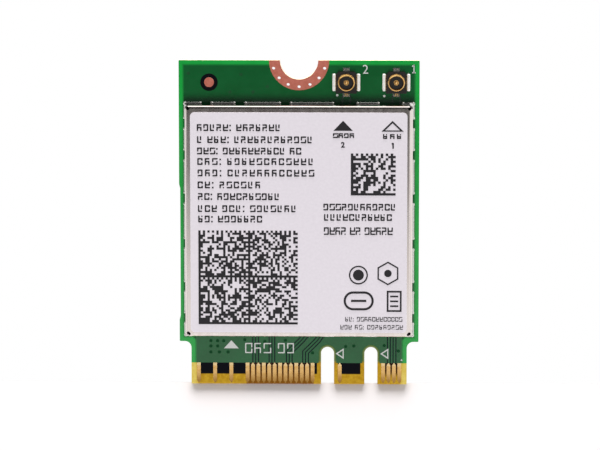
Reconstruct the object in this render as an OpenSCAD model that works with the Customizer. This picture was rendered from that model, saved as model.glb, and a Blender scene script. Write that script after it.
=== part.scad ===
// Small wireless card for a keyed edge slot, lying flat with its label up
// Millimetres: +Y runs from the gold contacts to the screw notch, +Z is up and z = 0 is the underside
// The outline, keys, pins and screw notch are those of the 22 x 30 mm card format with keys A and E

/* [Board] */
// Width of the board
board_w = 22; // [22:0.5:30]
// Length of the board, from the contact edge to the screw edge
board_l = 30; // [30:0.5:42]
// Thickness of the finished board, resist to resist
board_t = 0.8; // [0.7:0.05:1.2]
// Radius of the board's outer corners
corner_r = 0.1; // [0.05:0.05:0.5]
// Width of the tongue that enters the slot
tongue_w = 19.85; // [19.6:0.05:20.4]
// Length of the tongue, from the contact edge to the shoulders
tongue_l = 4; // [3.8:0.1:4.3]
// Radius of the fillet between the tongue and a shoulder
shoulder_r = 0.6; // [0.2:0.1:0.8]
// Chamfer along the contact edge
lead_chamfer = 0.12; // [0.05:0.01:0.18]
// Thickness of the copper, plating included
copper_t = 0.04; // [0.03:0.005:0.06]
// Thickness of the resist over copper
cover_t = 0.02; // [0.02:0.005:0.04]
// Width of the bare green strip round the copper areas
border_w = 0.4; // [0.3:0.05:0.6]
// Depth of the step that the router left in the left edge
route_step = 0.1; // [0.05:0.01:0.15]

/* [Keys] */
// Width of a key notch
notch_w = 1.2; // [1.1:0.05:1.3]
// Depth of a key notch from the contact edge
notch_depth = 3.5; // [3.2:0.1:3.7]
// How far the resist stays back from a key notch
notch_relief = 0.22; // [0.15:0.01:0.35]

/* [Contacts] */
// Pitch of the contacts on one face
contact_pitch = 0.5; // [0.48:0.01:0.52]
// Width of a contact
contact_w = 0.35; // [0.3:0.01:0.38]
// Height of the bare zone that the contacts stand in
contact_zone = 2; // [1.8:0.1:2.2]
// Gap between a contact's end and the board's edge
contact_gap = 0.22; // [0.2:0.01:0.35]
// Width of the thin lead at either end of a contact
lead_w = 0.12; // [0.08:0.01:0.2]

/* [Screw notch] */
// Radius of the half round screw notch
screw_r = 1.75; // [1.6:0.05:1.9]
// Outer radius of the bare copper ring round it
ring_r = 2.75; // [2.6:0.05:3]
// Number of plated holes in the ring
ring_vias = 7; // [3:1:9]
// Angle between two plated holes
ring_via_step = 24; // [16:1:26]
// Radius of the drill for a plated hole
via_drill_r = 0.2; // [0.16:0.01:0.22]
// Radius that stays open inside the plating
via_open_r = 0.15; // [0.05:0.01:0.15]

/* [Shield] */
// Distance from the board's long edges to the shield can
can_side = 0.6; // [0.5:0.05:0.8]
// Distance from the contact edge to the shield can
can_front = 4.65; // [4.5:0.05:4.9]
// Distance from the screw edge to the shield can
can_rear = 4; // [3.8:0.05:4.2]
// Height of the shield can above the board
can_h = 1.4; // [1.2:0.05:1.8]
// Thickness of the folded sheet
sheet_t = 0.15; // [0.1:0.01:0.2]
// Outer radius of the folds
fold_r = 0.3; // [0.25:0.01:0.45]
// Slit left at each corner of the folded sheet
corner_slit = 0.06; // [0.03:0.01:0.1]
// Radius of the relief hole where two folds meet
relief_r = 0.13; // [0.1:0.01:0.18]
// Extra length of the relief holes at the contact end, across the corner
relief_stretch = 0.12; // [0.05:0.01:0.2]
// Width of the gap between two feet
foot_gap_w = 0.8; // [0.6:0.05:1]
// Height of the gap between two feet
foot_gap_h = 0.25; // [0.1:0.05:0.5]
// Width of the gap where an antenna line leaves the can
exit_w = 2; // [1.4:0.1:2]
// How far the solder pads reach beyond the can
pad_reach = 0.16; // [0.12:0.01:0.25]
// Height of the solder fillet against the can
fillet_h = 0.07; // [0.05:0.01:0.2]

/* [Label] */
// Thickness of the label
label_t = 0.08; // [0.05:0.01:0.15]
// Radius of the label's corners
label_r = 0.38; // [0.2:0.02:0.8]
// Margin of the label on the can's long sides
label_side = 0.5; // [0.4:0.05:0.8]
// Margin of the label at the can's contact end
label_front = 0.43; // [0.4:0.01:0.7]
// Margin of the label at the can's screw end
label_rear = 0.63; // [0.4:0.01:0.9]
// Thickness of printed ink
ink_t = 0.02; // [0.02:0.005:0.04]

/* [Antenna jacks] */
// Distance of jack 1 from the board's long edge
jack_side = 2.12; // [2:0.02:2.4]
// Gap between the copper ring and the base of jack 2
jack_2_gap = 0.62; // [0.5:0.02:0.8]
// Distance of the jacks from the screw edge
jack_inset = 2; // [1.8:0.05:2.1]
// Outer radius of a jack's ring
jack_ring_r = 0.77; // [0.72:0.01:0.82]
// Wall of a jack's ring
jack_wall = 0.16; // [0.14:0.01:0.2]
// Height of a jack's ring above the board
jack_h = 0.62; // [0.55:0.01:0.7]
// Height of the twelve sided foot that holds a jack's ring in its base
jack_foot_h = 0.36; // [0.34:0.01:0.38]
// Radius of a jack's centre pin
jack_pin_r = 0.17; // [0.12:0.01:0.22]
// Radius of the collar at the foot of the centre pin
jack_collar_r = 0.24; // [0.23:0.01:0.34]
// Width of a jack's moulded base
jack_base_w = 1.9; // [1.85:0.05:2]
// Length of a jack's moulded base
jack_base_l = 2; // [1.9:0.05:2]
// Height of a jack's moulded base
jack_base_h = 0.3; // [0.25:0.01:0.32]

/* [Parts under the shield] */
// Clearance between the parts and the can's walls
wall_gap = 0.8; // [0.5:0.05:1]
// Side of the radio chip
chip_w = 9; // [7:0.5:9.5]
// Height of the radio chip above its lands
chip_h = 0.85; // [0.6:0.05:1]
// Side of a front end module
module_w = 3; // [2:0.25:3.2]
// Height of a front end module above its lands
module_h = 0.75; // [0.5:0.05:0.95]
// Height of a power inductor
inductor_h = 0.95; // [0.6:0.05:1]
// Length of a chip capacitor or resistor
chip_part_l = 1; // [0.8:0.05:1.2]
// Width of a chip capacitor or resistor
chip_part_w = 0.5; // [0.3:0.05:0.6]
// Height of a chip capacitor
capacitor_h = 0.5; // [0.3:0.05:0.8]
// Height of a chip resistor
resistor_h = 0.35; // [0.2:0.05:0.5]

/* [Hidden] */

// Lengths that every size follows
eps = 0.1;
edge_y = -board_l / 2;
screw_y = board_l / 2;
shoulder_y = edge_y + tongue_l;
mask_y = edge_y + contact_zone;
core_z0 = copper_t + cover_t;
core_z1 = board_t - core_z0;

// Pins are numbered from the right; odd pins are on the label side, even pins underneath
middle_pin = 38;
function pin_x(n) = (middle_pin - n) * contact_pitch / 2;
key_pins = [11.5, 27.5];
top_pins = [1, 3, 5, 7, 23, for (n = [33:2:57]) n, 63, 69, 75];
top_ground_pins = [1, 7, 33, 39, 45, 51, 57, 63, 69, 75];
bottom_pins = [2, 4, 6, for (n = [16:2:22]) n, for (n = [32:2:74]) n];
bottom_power_pins = [2, 4, 72, 74];
head_gap = 0.07;
arc_steps = 6;

// Shield can: the gaps between its feet are counted from its centre lines
can_w = board_w - 2 * can_side;
can_l = board_l - can_front - can_rear;
can_y = edge_y + can_front + can_l / 2;
can_top = board_t + can_h;
side_gaps = [2.1, 6.1, 9];
front_gaps = [1.25, 5.4, 8.5];
rear_gaps = [-8.5, -5.4, -1.25];
gap_shift = -0.12;
pad_inner = 0.1;
slit_angle = atan(corner_slit / fold_r);

// Label
label_w = can_w - 2 * label_side;
label_l = can_l - label_front - label_rear;
label_y = can_y + (label_front - label_rear) / 2;
label_top = can_top + label_t;
label_left = -label_w / 2;
label_right = label_w / 2;
label_upper = label_y + label_l / 2;
label_lower = label_y - label_l / 2;

// Antenna jacks
jack_x = [board_w / 2 - jack_side, ring_r + jack_2_gap + jack_base_w / 2];
jack_y = screw_y - jack_inset;
exit_shift = [-0.5, -0.1];
jack_floor_h = 0.34;
jack_plate_z = 0.14;
jack_plate_t = 0.08;
jack_foot_w = 0.035;
jack_foot_sides = 12;
jack_leg_t = 0.06;
jack_leg_l = 1.4;
jack_side_pad = [0.3, 1.52];
jack_end_pad = [0.6, 0.33];
jack_tail_w = 0.3;
jack_tail_t = 0.08;
jack_tail_clear = 0.08;
jack_corner_cut = 0.25;

// Marks and holes in the resist
ring_via_shift = 0.2;
fiducial_side = 2.78;
fiducial_inset = 2.02;
fiducial_r = 0.45;
fiducial_clear_r = 0.8;
fiducial_at = [fiducial_side - board_w / 2, screw_y - fiducial_inset];
tented_via_r = 0.15;
tented_via_depth = cover_t / 2;

// Lines under the resist show by the gaps on both sides of them
trace_gap_w = 0.1;
trace_pitch = 0.26;
pair_shift = 0.1;
usb_shift = 0.04;
bend_height = 1;
bend_runs = [1.1, 1.2];
bend_end_run = 0.6;
under_can = 0.3;
line_gap_w = 0.12;
line_half = 0.35;

// The left edge stands back between these two heights, counted from the contact edge
route_start = 6;
route_end = 18.6;

// White marks, counted from the centre line and the contact edge, or from a jack
silk_triangle_at = [-6.24, 3.34];
silk_triangle_w = 1.36;
silk_triangle_h = 0.75;
silk_dot_r = 0.11;
silk_dot_shifts = [[-1.1, -1.25], [-0.83, -1.18]];

// Print on the label: places are counted from the label's upper left, lower left and upper right corners
text_at = [0.62, -1.45];
row_lengths = [7.6, 10.5, 9.5, 10.4, 10.4, 5.6, 7.3, 8.9, 5.9];
row_pitch = 1.05;
cap_h = 0.55;
big_code_at = [0.75, 0.8];
big_code = 9.1;
big_cells = 44;
small_code_at = [-5.07, -7.65];
small_code = 4;
small_cells = 22;
pointer_w = 1.8;
pointer_h = 0.92;
solid_pointer_at = [-5.83, -1.72];
open_pointer_at = [-1.37, -1.72];
word_bars = [[-6.65, 1.6, -2.16], [-2.24, 1.69, -2.24]];
number_bars = [[-7.6, 6.7, -8.7], [-7.6, 6.1, -9.7], [-7.6, 6.5, -10.95]];
foot_bars = [[-5.6, 5.2, -19.1], [-6.05, 5.65, -19.85]];
line_w = 0.1;
mark_w = 0.15;
disc_at = [-4.45, -15];
disc_r = 0.85;
hexagon_at = [-1.72, -14.85];
hexagon_r = 1.05;
pill_at = [-4.4, -17.35];
pill_size = [2.7, 1.7];
frame_at = [-1.15, -17.4];
frame_size = [1.35, 1.95];
frame_bars = 3;

// Parts under the shield: rows and columns stand off the can's walls, the chip and each other
part_gap = 0.6;
land_t = 0.06;
land_pitch = 0.5;
chip_land_l = 0.5;
module_land_l = 0.35;
chip_dot_r = 0.3;
chip_dot_inset = 0.8;
chip_dot_depth = 0.05;
crystal_size = [2.5, 2];
crystal_h = 0.5;
lid_margin = 0.15;
lid_t = 0.08;
inductor_size = [2, 2.5];
end_w = 0.25;
row_step = chip_part_l + part_gap;
column_step = chip_part_w + part_gap;
inner_x = can_w / 2 - sheet_t - wall_gap;
inner_y = can_l / 2 - sheet_t - wall_gap;
chip_at = [
  -inner_x + crystal_size[0] + part_gap + chip_w / 2,
  -inner_y + 2 * column_step + chip_w / 2
];
chip_low = chip_at[1] - chip_w / 2;
chip_high = chip_at[1] + chip_w / 2;
chip_right = chip_at[0] + chip_w / 2;
module_step = module_w + 2 * part_gap;
module_places = [for (i = [0, 1]) [inner_x - module_w / 2 - i * module_step, inner_y - module_w / 2]];
module_left = inner_x - module_step - module_w;
crystal_at = [-inner_x + crystal_size[0] / 2, chip_high - crystal_size[1] / 2];
inductor_places = [
  for (i = [0, 1])
    [inner_x - inductor_size[0] / 2, chip_low + inductor_size[1] / 2 + i * (inductor_size[1] + part_gap)]
];

// Small two ended parts lie along X: each place is the middle of one
left_x = -inner_x + chip_part_l / 2;
beside_chip_x = chip_right + part_gap + chip_part_l / 2;
capacitor_places = [
  for (i = [0:4]) [left_x, chip_low + chip_part_w / 2 + i * column_step],
  for (i = [0:5]) [beside_chip_x, chip_low + chip_part_w / 2 + i * column_step],
  for (i = [0:4]) [left_x + i * row_step, -inner_y + chip_part_w / 2],
  for (i = [0:2]) [left_x + i * row_step, inner_y - chip_part_w / 2]
];
resistor_places = [
  for (i = [0:3]) [left_x + i * row_step, chip_high + part_gap + chip_part_w / 2],
  for (i = [0:3])
    [module_left + chip_part_l / 2 + i * row_step, inner_y - module_w - part_gap - chip_part_w / 2]
];

// Shapes used by several parts

module rounded_rect(w, l, r) {
  square([w - 2 * r, l], center = true);
  square([w, l - 2 * r], center = true);
  for (x = [-1, 1], y = [-1, 1]) translate([x * (w / 2 - r), y * (l / 2 - r)]) circle(r, $fn = 24);
}

module slab(z0, z1) {
  translate([0, 0, z0]) linear_extrude(z1 - z0) children();
}

module block(size, at, z0, z1) {
  slab(z0, z1) translate(at) square(size, center = true);
}

// A polyline moved sideways by d, with mitred corners
function unit(v) = v / norm(v);
function left_of(v) = [-v[1], v[0]];
function mitred(a, b, c, d) =
  let (n1 = left_of(unit(b - a)), n2 = left_of(unit(c - b)), m = unit(n1 + n2)) b + m * d / (m * n1);
function shifted(path, d) =
  let (last = len(path) - 1)
  [for (i = [0:last])
    i == 0 ? path[0] + d * left_of(unit(path[1] - path[0]))
    : i == last ? path[last] + d * left_of(unit(path[last] - path[last - 1]))
    : mitred(path[i - 1], path[i], path[i + 1], d)];
function reversed(path) = [for (i = [len(path) - 1:-1:0]) path[i]];

module stripe(path, at, w) {
  polygon(concat(shifted(path, at + w / 2), reversed(shifted(path, at - w / 2))));
}

// Board outline: body, tongue, shoulder fillets, key notches and screw notch

module notch(extra) {
  w = notch_w + 2 * extra;
  top = edge_y + notch_depth + extra;
  translate([-w / 2, edge_y - eps]) square([w, top - w / 2 - edge_y + eps]);
  translate([0, top - w / 2]) circle(w / 2, $fn = 48);
}

module key_notches(extra) {
  for (p = key_pins) translate([pin_x(p), 0]) notch(extra);
}

module shoulder_fillet() {
  translate([tongue_w / 2, shoulder_y]) difference() {
    translate([-eps, -shoulder_r]) square([shoulder_r + eps, shoulder_r + eps]);
    translate([shoulder_r, -shoulder_r]) circle(shoulder_r, $fn = 48);
  }
}

module body_shape() {
  body_l = screw_y - shoulder_y;
  translate([0, shoulder_y + body_l / 2]) rounded_rect(board_w, body_l, corner_r);
  translate([0, edge_y + (tongue_l + corner_r) / 2])
    rounded_rect(tongue_w, tongue_l + corner_r, corner_r);
  translate([0, shoulder_y + corner_r / 2])
    square([tongue_w, corner_r + 2 * eps], center = true);
  shoulder_fillet();
  mirror([1, 0]) shoulder_fillet();
}

// A shallow cut along the left edge, with slanted ends
module routed_step() {
  slant = 4 * route_step;
  y0 = edge_y + route_start;
  y1 = edge_y + route_end;
  translate([-board_w / 2, 0])
    polygon([[-eps, y0], [0, y0], [route_step, y0 + slant], [route_step, y1 - slant], [0, y1], [-eps, y1]]);
}

module board_outline() {
  difference() {
    body_shape();
    key_notches(0);
    translate([0, screw_y]) circle(screw_r, $fn = 96);
    routed_step();
  }
}

// The copper areas stay a border's width inside the outline
module copper_area() {
  area_l = screw_y - shoulder_y - 2 * border_w;
  translate([0, (screw_y + shoulder_y) / 2]) square([board_w - 2 * border_w, area_l], center = true);
  tongue_area_l = shoulder_y + 2 * border_w - mask_y;
  translate([0, mask_y + tongue_area_l / 2])
    square([tongue_w - 2 * border_w, tongue_area_l], center = true);
}

module resist_area() {
  difference() {
    board_outline();
    translate([0, mask_y - contact_zone / 2 - eps / 2])
      square([tongue_w + eps, contact_zone + eps], center = true);
    key_notches(notch_relief);
    translate([0, screw_y]) circle(ring_r, $fn = 96);
  }
}

// Gaps beside the signal lines that run from the contacts, and beside the antenna lines

function straight_route(x) = [[x, mask_y - eps], [x, edge_y + can_front]];
function bent_route(x, run) =
  let (bend_y = mask_y + bend_height)
  [[x, mask_y - eps], [x, bend_y], [x + run, bend_y + run],
   [x + run + bend_end_run, edge_y + can_front + under_can]];

module signal_gaps() {
  routes = [
    straight_route(pin_x(54)), straight_route(pin_x(48)),
    bent_route(pin_x(36) + pair_shift, bend_runs[0]), bent_route(pin_x(42) + pair_shift, bend_runs[1])
  ];
  for (route = routes, i = [-1:1]) stripe(route, i * trace_pitch, trace_gap_w);
  for (i = [-1.5:1.5]) stripe(straight_route(pin_x(4) + usb_shift), i * trace_pitch, trace_gap_w);
}

module antenna_gaps() {
  for (x = jack_x, side = [-1, 1])
    stripe([[x, jack_y - jack_base_l / 2 - jack_end_pad[1] / 2], [x, edge_y + can_front + can_l]],
      side * line_half, line_gap_w);
}

// Covered vias leave small pits; places are counted from the centre line and the contact edge
ground_vias = [[-8.13, 4.05], [-7.51, 4.05], [-6.95, 4.05], [-8.13, 3.55], [-7.51, 3.55],
  [-8.13, 3], [-7.35, 3], [-6.55, 3]];
line_vias = [[-5, 4.15], [-3.15, 4], [-1.25, 4.1], [1.25, 2.95], [4.3, 3.55], [5.05, 3.6],
  [7.85, 3.65], [9.15, 3.15]];
rear_vias = [[-10.1, -1.2], [-5.3, -1.3], [-6.3, -2.9], [-4.2, -2.9], [-2.9, -2.4]];

module tented_vias() {
  for (p = concat(ground_vias, line_vias)) translate([p[0], edge_y + p[1]]) circle(tented_via_r, $fn = 16);
  for (p = rear_vias) translate([p[0], screw_y + p[1]]) circle(tented_via_r, $fn = 16);
}

// Over a covered via the resist fills all but a shallow pit, except where a line's gap crosses it
module via_plugs() {
  difference() {
    tented_vias();
    signal_gaps();
  }
}

// Pads for the shield: a ring round the can, cut where there is no foot

module each_gap() {
  for (p = side_gaps, s = [-1, 1], side = [-1, 1])
    translate([side * can_w / 2, can_y + gap_shift + s * p]) rotate(90) children(0);
  for (p = front_gaps, s = [-1, 1]) translate([s * p, can_y - can_l / 2]) children(0);
  for (p = rear_gaps) translate([p, can_y + can_l / 2]) children(0);
  for (i = [0, 1]) translate([jack_x[i] + exit_shift[i], can_y + can_l / 2]) children(1);
}

module gap_shapes(depth) {
  each_gap() {
    square([foot_gap_w, depth], center = true);
    square([exit_w, depth], center = true);
  }
}

module shield_pad_area() {
  difference() {
    translate([0, can_y]) rounded_rect(can_w + 2 * pad_reach, can_l + 2 * pad_reach, fold_r + pad_reach);
    translate([0, can_y])
      square([can_w - 2 * sheet_t - 2 * pad_inner, can_l - 2 * sheet_t - 2 * pad_inner], center = true);
    gap_shapes(2 * (sheet_t + pad_inner + pad_reach) + eps);
  }
}

module jack_pad_area() {
  for (x = jack_x) translate([x, jack_y]) {
    for (side = [-1, 1])
      translate([side * (jack_base_w + jack_side_pad[0]) / 2, 0]) square(jack_side_pad, center = true);
    for (side = [-1, 1])
      translate([0, side * (jack_base_l + jack_end_pad[1]) / 2]) square(jack_end_pad, center = true);
  }
}

// The board

module ring_via_centres() {
  via_at_r = (screw_r + ring_r) / 2 + ring_via_shift;
  for (i = [0:ring_vias - 1])
    translate([0, screw_y]) rotate((i - (ring_vias - 1) / 2) * ring_via_step)
      translate([0, -via_at_r]) children();
}

module chamfer_cut(z, turn) {
  translate([0, edge_y, z]) rotate([turn, 0, 0])
    cube([tongue_w + eps, lead_chamfer * sqrt(2), lead_chamfer * sqrt(2)], center = true);
}

module laminate() {
  color("#b8952a") difference() {
    slab(core_z0, core_z1) board_outline();
    slab(core_z0 - eps, core_z1 + eps) ring_via_centres() circle(via_drill_r, $fn = 24);
    chamfer_cut(core_z0, 45);
    chamfer_cut(core_z1, 45);
  }
}

module solder_mask_top() {
  color("#22703a") {
    slab(core_z1, core_z1 + copper_t) difference() {
      resist_area();
      translate(fiducial_at) circle(fiducial_clear_r, $fn = 48);
      shield_pad_area();
      jack_pad_area();
    }
    slab(core_z1, board_t) difference() {
      intersection() {
        resist_area();
        copper_area();
      }
      translate(fiducial_at) circle(fiducial_clear_r, $fn = 48);
      shield_pad_area();
      jack_pad_area();
      signal_gaps();
      antenna_gaps();
      tented_vias();
    }
    slab(core_z1, board_t - tented_via_depth) via_plugs();
  }
}

module solder_mask_bottom() {
  color("#22703a") {
    slab(core_z0 - copper_t, core_z0) resist_area();
    slab(0, core_z0) difference() {
      intersection() {
        resist_area();
        copper_area();
      }
      tented_vias();
    }
    slab(tented_via_depth, core_z0) tented_vias();
  }
}

// One contact: a strip with a round lower end, and thin leads that run on to the edge and the resist
function round_end(r, y, down) =
  [for (i = [0:arc_steps]) let (a = (down ? 180 : 0) + 180 * i / arc_steps) [r * cos(a), y + r * sin(a)]];

module contact(joined) {
  r = contact_w / 2;
  low = edge_y + contact_gap + r;
  high = joined ? mask_y : mask_y - head_gap - r;
  upper = joined ? [[r, high], [-r, high]] : round_end(r, high, false);
  polygon(concat(round_end(r, low, true), upper));
  lead_y0 = edge_y + lead_chamfer;
  translate([-lead_w / 2, lead_y0]) square([lead_w, low - lead_y0]);
  translate([-lead_w / 2, low]) square([lead_w, mask_y - low]);
}

module edge_contacts_top() {
  color("#e2aa64") slab(core_z1, core_z1 + copper_t)
    for (n = top_pins) translate([pin_x(n), 0]) contact(len(search(n, top_ground_pins)) > 0);
}

module edge_contacts_bottom() {
  color("#e2aa64") slab(core_z0 - copper_t, core_z0)
    for (n = bottom_pins) translate([pin_x(n), 0]) contact(len(search(n, bottom_power_pins)) > 0);
}

// Copper rings on both faces, joined by the plating of the holes
module screw_notch_plating() {
  color("#b96c57") difference() {
    union() {
      for (z = [core_z0 - copper_t, core_z1]) slab(z, z + copper_t) difference() {
        intersection() {
          translate([0, screw_y]) circle(ring_r, $fn = 96);
          translate([0, screw_y - ring_r / 2]) square([2 * ring_r, ring_r], center = true);
        }
        translate([0, screw_y]) circle(screw_r, $fn = 96);
      }
      slab(core_z0, core_z1) ring_via_centres() circle(via_drill_r, $fn = 24);
    }
    slab(-eps, board_t + eps) ring_via_centres() circle(via_open_r, $fn = 24);
  }
}

module fiducial_dot() {
  color("#b06a52") slab(core_z1, core_z1 + copper_t) translate(fiducial_at) circle(fiducial_r, $fn = 48);
}

// White ink on the board: the pin end triangle and a dot beside each jack
module silk_marks() {
  color("#dce1d7") slab(board_t, board_t + ink_t) {
    translate([silk_triangle_at[0], edge_y + silk_triangle_at[1]])
      triangle(silk_triangle_w, silk_triangle_h);
    for (i = [0, 1])
      translate([jack_x[i], jack_y] + silk_dot_shifts[i]) circle(silk_dot_r, $fn = 16);
  }
}

// Shield can: one sheet, folded down on four sides, with the long walls wrapped round the corners

module folded_side(length) {
  bend_z = can_h - fold_r;
  rotate([90, 0, 0]) translate([0, 0, -length / 2]) linear_extrude(length) {
    translate([0, bend_z]) intersection() {
      difference() {
        circle(fold_r, $fn = 48);
        circle(fold_r - sheet_t, $fn = 48);
      }
      square(fold_r);
    }
    translate([fold_r - sheet_t, 0]) square([sheet_t, bend_z]);
  }
}

module corner_ear() {
  translate([can_w / 2 - fold_r, can_l / 2 - fold_r, 0])
    rotate_extrude(angle = 90 - slit_angle, $fn = 96)
      translate([fold_r - sheet_t, 0]) square([sheet_t, can_h - fold_r]);
}

module long_relief() {
  square([relief_stretch, 2 * relief_r], center = true);
  for (s = [-1, 1]) translate([s * relief_stretch / 2, 0]) circle(relief_r, $fn = 32);
}

module shield_can() {
  flat_w = can_w - 2 * fold_r;
  flat_l = can_l - 2 * fold_r;
  color("#cfc8bf") difference() {
    translate([0, can_y, board_t]) {
      translate([0, 0, can_h - sheet_t]) linear_extrude(sheet_t) square([flat_w, flat_l], center = true);
      for (s = [0, 1]) mirror([s, 0, 0]) translate([flat_w / 2, 0, 0]) folded_side(flat_l);
      for (s = [0, 1]) mirror([0, s, 0])
        translate([0, flat_l / 2, 0]) rotate([0, 0, 90]) folded_side(flat_w);
      for (sx = [0, 1], sy = [0, 1]) mirror([sx, 0, 0]) mirror([0, sy, 0]) corner_ear();
    }
    slab(board_t - eps, board_t + foot_gap_h) gap_shapes(2 * sheet_t + eps);
    slab(can_top - fold_r, can_top + eps) for (sx = [0, 1]) mirror([sx, 0]) {
      translate([flat_w / 2, can_y + flat_l / 2]) circle(relief_r, $fn = 32);
      translate([flat_w / 2, can_y - flat_l / 2]) rotate(45) long_relief();
    }
  }
}

// Solder: tinned pads let into the resist, with a fillet against the outside of the can
module shield_solder() {
  fillet = [[0, 0], [pad_reach, 0], [0, fillet_h]];
  flat_w = can_w - 2 * fold_r;
  flat_l = can_l - 2 * fold_r;
  color("#d5d6cd") {
    slab(core_z1, board_t) shield_pad_area();
    difference() {
      translate([0, can_y, board_t]) {
        for (s = [0, 1]) mirror([s, 0, 0]) translate([can_w / 2, flat_l / 2, 0])
          rotate([90, 0, 0]) linear_extrude(flat_l) polygon(fillet);
        for (s = [0, 1]) mirror([0, s, 0]) translate([-flat_w / 2, can_l / 2, 0])
          rotate([90, 0, 90]) linear_extrude(flat_w) polygon(fillet);
        for (sx = [0, 1], sy = [0, 1]) mirror([sx, 0, 0]) mirror([0, sy, 0])
          translate([flat_w / 2, flat_l / 2, 0])
            rotate_extrude(angle = 90, $fn = 96) translate([fold_r, 0]) polygon(fillet);
      }
      slab(board_t - eps, can_top) gap_shapes(2 * pad_reach + eps);
    }
  }
}

// Label and its print, as plain bars and fields

module label() {
  color("#e2dce2") slab(can_top, label_top)
    translate([0, label_y]) rounded_rect(label_w, label_l, label_r);
}

module bar(x0, x1, y, h) {
  translate([x0, y - h / 2]) square([x1 - x0, h]);
}

module triangle(w, h) {
  polygon([[-w / 2, 0], [w / 2, 0], [0, h]]);
}

// A code field: quarters with two solid sides, two dashed sides and a filled middle
module code_field(side, quarters, cells) {
  cell = side / cells;
  quarter = side / quarters;
  dash = 2 * cell;
  dashes = floor(quarter / (2 * dash));
  for (i = [0:quarters - 1], j = [0:quarters - 1]) translate([i * quarter, j * quarter]) {
    square([cell, quarter - cell]);
    square([quarter - cell, cell]);
    translate([3 * cell, 3 * cell]) square(quarter - 6 * cell);
    for (k = [1:dashes - 1]) {
      translate([2 * k * dash, quarter - 2 * cell]) square([dash, cell]);
      translate([quarter - 2 * cell, 2 * k * dash]) square([cell, dash]);
    }
  }
}

// A ring, or the outline of a polygon with the given number of sides
module ring_mark(r, w, sides) {
  difference() {
    circle(r, $fn = sides);
    circle(r - w, $fn = sides);
  }
}

// A triangle's outline, w wide and h high, with lines of the same width all round
module open_triangle(w, h, line) {
  side = norm([w / 2, h]);
  inner_w = w - 2 * line * (w / 2 + side) / h;
  difference() {
    triangle(w, h);
    translate([0, line]) triangle(inner_w, h * inner_w / w);
  }
}

// A pill's outline with a bar through its middle
module pill_mark(size, line) {
  difference() {
    rounded_rect(size[0], size[1], size[1] / 2 - eps / 2);
    rounded_rect(size[0] - 2 * line, size[1] - 2 * line, size[1] / 2 - line - eps / 2);
  }
  square([size[0] / 2, line], center = true);
}

// A frame with bars across it
module frame_mark(size, line, bars) {
  difference() {
    square(size, center = true);
    square(size - [2 * line, 2 * line], center = true);
  }
  for (i = [1:bars]) translate([0, size[1] * (i / (bars + 1) - 0.5)])
    square([size[0] - 5 * line, line], center = true);
}

module at_corner(corner, p) {
  translate(corner + p) children();
}

module label_print() {
  upper_left = [label_left, label_upper];
  lower_left = [label_left, label_lower];
  upper_right = [label_right, label_upper];
  color("#1e1a20") slab(label_top, label_top + ink_t) {
    for (i = [0:len(row_lengths) - 1]) at_corner(upper_left, text_at - [0, i * row_pitch])
      bar(0, row_lengths[i], 0, cap_h);
    at_corner(lower_left, big_code_at) code_field(big_code, 2, big_cells);
    at_corner(upper_right, small_code_at) code_field(small_code, 1, small_cells);
    at_corner(upper_right, solid_pointer_at) triangle(pointer_w, pointer_h);
    at_corner(upper_right, open_pointer_at) open_triangle(pointer_w, pointer_h, line_w);
    for (b = concat(word_bars, number_bars, foot_bars)) at_corner(upper_right, [b[0], b[2]])
      bar(0, b[1], 0, cap_h);
    at_corner(upper_right, disc_at) {
      ring_mark(disc_r, mark_w, 48);
      circle(disc_r - 2 * mark_w, $fn = 48);
    }
    at_corner(upper_right, hexagon_at) {
      ring_mark(hexagon_r, mark_w, 6);
      circle(hexagon_r / 3, $fn = 32);
    }
    at_corner(upper_right, pill_at) pill_mark(pill_size, mark_w);
    at_corner(upper_right, frame_at) frame_mark(frame_size, mark_w, frame_bars);
  }
}

// Antenna jacks: a gold ring and its plate, a centre pin and its tail, moulded into a black base

module jack_ring_shape() {
  plate_z1 = board_t + jack_plate_z + jack_plate_t;
  wall_h = jack_h - jack_plate_z - jack_wall / 2;
  translate([0, 0, board_t + jack_plate_z]) rotate_extrude($fn = 64) {
    translate([jack_ring_r - jack_wall, 0]) square([jack_wall, wall_h]);
    translate([jack_ring_r - jack_wall / 2, wall_h]) circle(jack_wall / 2, $fn = 32);
  }
  slab(board_t + jack_plate_z, board_t + jack_foot_h) difference() {
    circle(jack_ring_r + jack_foot_w, $fn = jack_foot_sides);
    circle(jack_ring_r - jack_wall, $fn = 64);
  }
  slab(board_t + jack_plate_z, plate_z1) difference() {
    square([jack_base_w + 2 * jack_leg_t, jack_leg_l], center = true);
    circle(jack_ring_r - jack_wall, $fn = 64);
  }
  for (side = [-1, 1])
    block([jack_leg_t, jack_leg_l], [side * (jack_base_w + jack_leg_t) / 2, 0], board_t, plate_z1);
}

module jack_pin_shape() {
  tail_l = jack_base_l / 2 + jack_end_pad[1] - jack_tail_clear;
  dome_z = board_t + jack_h - jack_wall / 2 - jack_pin_r;
  slab(board_t, dome_z) circle(jack_pin_r, $fn = 48);
  translate([0, 0, dome_z]) sphere(jack_pin_r, $fn = 48);
  slab(board_t, board_t + jack_floor_h + jack_tail_t) circle(jack_collar_r, $fn = 48);
  slab(board_t, board_t + jack_tail_t)
    translate([0, -tail_l / 2]) square([jack_tail_w, tail_l], center = true);
}

module jack_base_shape() {
  difference() {
    union() {
      block([jack_base_w, jack_base_l], [0, 0], board_t, board_t + jack_base_h);
      slab(board_t, board_t + jack_floor_h) circle(jack_ring_r - jack_wall, $fn = 64);
    }
    jack_ring_shape();
    jack_pin_shape();
    cut = jack_corner_cut * sqrt(2);
    for (sx = [-1, 1]) translate([sx * jack_base_w / 2, jack_base_l / 2, 0]) rotate([0, 0, 45])
      block([cut, cut], [0, 0], board_t - eps, board_t + jack_h);
  }
}

module at_jack(i) {
  translate([jack_x[i], jack_y, 0]) children();
}

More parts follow.
